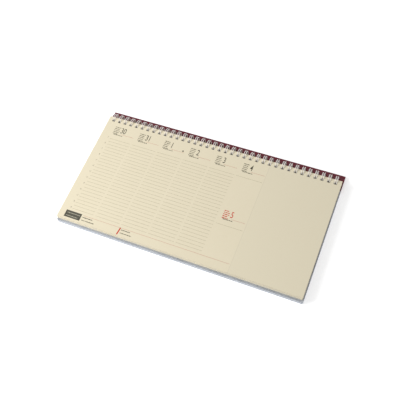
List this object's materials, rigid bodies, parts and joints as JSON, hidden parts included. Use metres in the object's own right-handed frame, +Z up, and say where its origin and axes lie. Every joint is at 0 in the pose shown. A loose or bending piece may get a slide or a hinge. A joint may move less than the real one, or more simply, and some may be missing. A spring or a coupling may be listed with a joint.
{
  "type": "wire-bound weekly desk calendar",
  "caption": "Long, low weekly desk calendar: punched cream sheets on a twin-loop wire, grey cover boards and a dark red leatherette cover folded flat underneath.",
  "frame": {"origin": "on the desk, under the middle of the covers' outer box", "axes": "+X along the bound edge to the reader's right, +Y from the front edge towards the rings, +Z up"},
  "size_m": [0.322, 0.172, 0.0156],
  "materials": {
    "paper": "matt cream paper, faint print",
    "board": "matt grey board",
    "leatherette": "satin dark red leatherette",
    "wire": "white coated steel wire"
  },
  "bodies": {
    "calendar": {"page_block": "paper", "wire_binding": "wire", "back_board": "board", "back_cover_skin": "leatherette"},
    "front_cover": {"front_board": "board", "front_cover_skin": "leatherette"}
  },
  "joints": [
    {"name": "front_cover_turn", "type": "hinge", "parent": "calendar", "child": "front_cover", "pos_m": [0, 0.08734, 0.00295], "axis": [1, 0, 0], "range_deg": [0, 270]}
  ]
}
